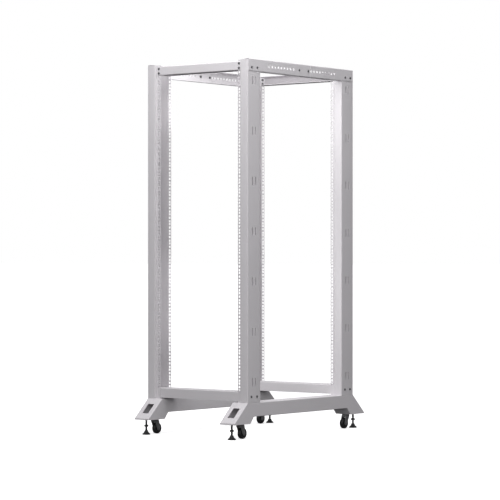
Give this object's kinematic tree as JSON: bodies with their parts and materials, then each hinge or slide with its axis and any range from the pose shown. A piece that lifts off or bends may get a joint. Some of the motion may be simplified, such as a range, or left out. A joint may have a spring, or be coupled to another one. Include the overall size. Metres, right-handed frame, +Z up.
{
  "type": "four post open frame server rack",
  "caption": "Open frame equipment rack: perforated channel posts on splayed base members, tied by cross beams and adjustable side beams, on casters and levelling feet.",
  "frame": {"origin": "on the floor under the middle of the rack", "axes": "+X to the right seen from the front, +Y from front to rear, +Z up"},
  "size_m": [0.584, 0.984, 1.68],
  "materials": {
    "powder_coat": "satin",
    "dark_steel": "satin",
    "wheel_plastic": "matte",
    "pad_plastic": "matte"
  },
  "bodies": {
    "frame": {"post_front_left": "powder_coat", "post_front_right": "powder_coat", "post_rear_left": "powder_coat", "post_rear_right": "powder_coat", "side_beam_front_left": "powder_coat", "side_beam_front_right": "powder_coat", "side_beam_rear_left": "powder_coat", "side_beam_rear_right": "powder_coat", "base_member_left": "powder_coat", "base_member_right": "powder_coat", "top_beam_front": "powder_coat", "top_beam_rear": "powder_coat", "bottom_beam_front": "powder_coat", "bottom_beam_rear": "powder_coat"},
    "swivel_front_left": {"caster_fork_front_left": "dark_steel"},
    "wheel_front_left": {"caster_wheel_front_left": "wheel_plastic"},
    "leveller_front_left": {"leveller_stem_front_left": "dark_steel", "leveller_pad_front_left": "pad_plastic"},
    "swivel_front_right": {"caster_fork_front_right": "dark_steel"},
    "wheel_front_right": {"caster_wheel_front_right": "wheel_plastic"},
    "leveller_front_right": {"leveller_stem_front_right": "dark_steel", "leveller_pad_front_right": "pad_plastic"},
    "swivel_rear_left": {"caster_fork_rear_left": "dark_steel"},
    "wheel_rear_left": {"caster_wheel_rear_left": "wheel_plastic"},
    "leveller_rear_left": {"leveller_stem_rear_left": "dark_steel", "leveller_pad_rear_left": "pad_plastic"},
    "swivel_rear_right": {"caster_fork_rear_right": "dark_steel"},
    "wheel_rear_right": {"caster_wheel_rear_right": "wheel_plastic"},
    "leveller_rear_right": {"leveller_stem_rear_right": "dark_steel", "leveller_pad_rear_right": "pad_plastic"}
  },
  "joints": [
    {"name": "caster_swivel_front_left", "type": "hinge", "parent": "frame", "child": "swivel_front_left", "pos_m": [-0.2475, -0.4, 0.0665], "axis": [0, 0, 1], "continuous": true},
    {"name": "wheel_spin_front_left", "type": "hinge", "parent": "swivel_front_left", "child": "wheel_front_left", "pos_m": [-0.2475, -0.386, 0.0255], "axis": [1, 0, 0], "continuous": true},
    {"name": "leveller_screw_front_left", "type": "slide", "parent": "frame", "child": "leveller_front_left", "axis": [0, 0, 1], "range_m": [-0.008, 0.008]},
    {"name": "caster_swivel_front_right", "type": "hinge", "parent": "frame", "child": "swivel_front_right", "pos_m": [0.2475, -0.4, 0.0665], "axis": [0, 0, 1], "continuous": true},
    {"name": "wheel_spin_front_right", "type": "hinge", "parent": "swivel_front_right", "child": "wheel_front_right", "pos_m": [0.2475, -0.386, 0.0255], "axis": [1, 0, 0], "continuous": true},
    {"name": "leveller_screw_front_right", "type": "slide", "parent": "frame", "child": "leveller_front_right", "axis": [0, 0, 1], "range_m": [-0.008, 0.008]},
    {"name": "caster_swivel_rear_left", "type": "hinge", "parent": "frame", "child": "swivel_rear_left", "pos_m": [-0.2475, 0.4, 0.0665], "axis": [0, 0, 1], "continuous": true},
    {"name": "wheel_spin_rear_left", "type": "hinge", "parent": "swivel_rear_left", "child": "wheel_rear_left", "pos_m": [-0.2475, 0.386, 0.0255], "axis": [1, 0, 0], "continuous": true},
    {"name": "leveller_screw_rear_left", "type": "slide", "parent": "frame", "child": "leveller_rear_left", "axis": [0, 0, 1], "range_m": [-0.008, 0.008]},
    {"name": "caster_swivel_rear_right", "type": "hinge", "parent": "frame", "child": "swivel_rear_right", "pos_m": [0.2475, 0.4, 0.0665], "axis": [0, 0, 1], "continuous": true},
    {"name": "wheel_spin_rear_right", "type": "hinge", "parent": "swivel_rear_right", "child": "wheel_rear_right", "pos_m": [0.2475, 0.386, 0.0255], "axis": [1, 0, 0], "continuous": true},
    {"name": "leveller_screw_rear_right", "type": "slide", "parent": "frame", "child": "leveller_rear_right", "axis": [0, 0, 1], "range_m": [-0.008, 0.008]}
  ]
}
